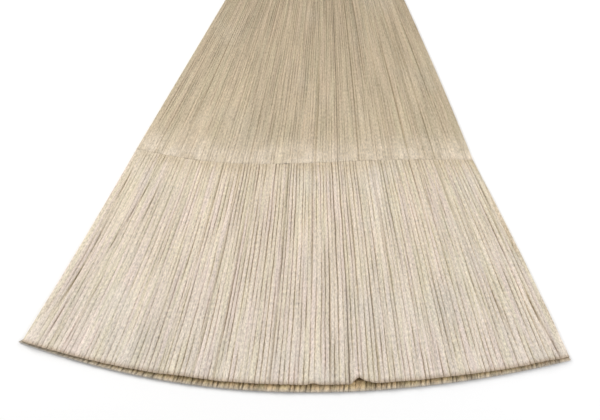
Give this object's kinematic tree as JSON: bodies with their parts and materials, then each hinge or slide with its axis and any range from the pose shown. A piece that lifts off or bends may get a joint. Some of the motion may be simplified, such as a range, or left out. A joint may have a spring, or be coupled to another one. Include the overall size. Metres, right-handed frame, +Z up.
{
  "type": "pleated skirt",
  "caption": "Long pleated skirt in two tiers, lying flat with its front up, with a pull-on waistband at the top and an open hem.",
  "frame": {"origin": "middle of the skirt's outline, on the surface that it lies on", "axes": "+X across the skirt to the right as seen from the hem, +Y from the hem to the waistband, +Z up from the surface"},
  "size_m": [0.901, 0.8682, 0.013],
  "materials": {
    "pleated_cloth": "light beige woven cloth, permanently pleated, with a faint metallic fleck and a soft sheen",
    "waistband_cloth": "the same beige cloth, gathered over elastic"
  },
  "bodies": {
    "root": {"waistband_front": "waistband_cloth", "waistband_back": "waistband_cloth", "upper_front_left": "pleated_cloth", "upper_front_right": "pleated_cloth", "upper_back": "pleated_cloth", "lower_front_left": "pleated_cloth", "lower_front_right": "pleated_cloth", "lower_back": "pleated_cloth"}
  },
  "joints": []
}
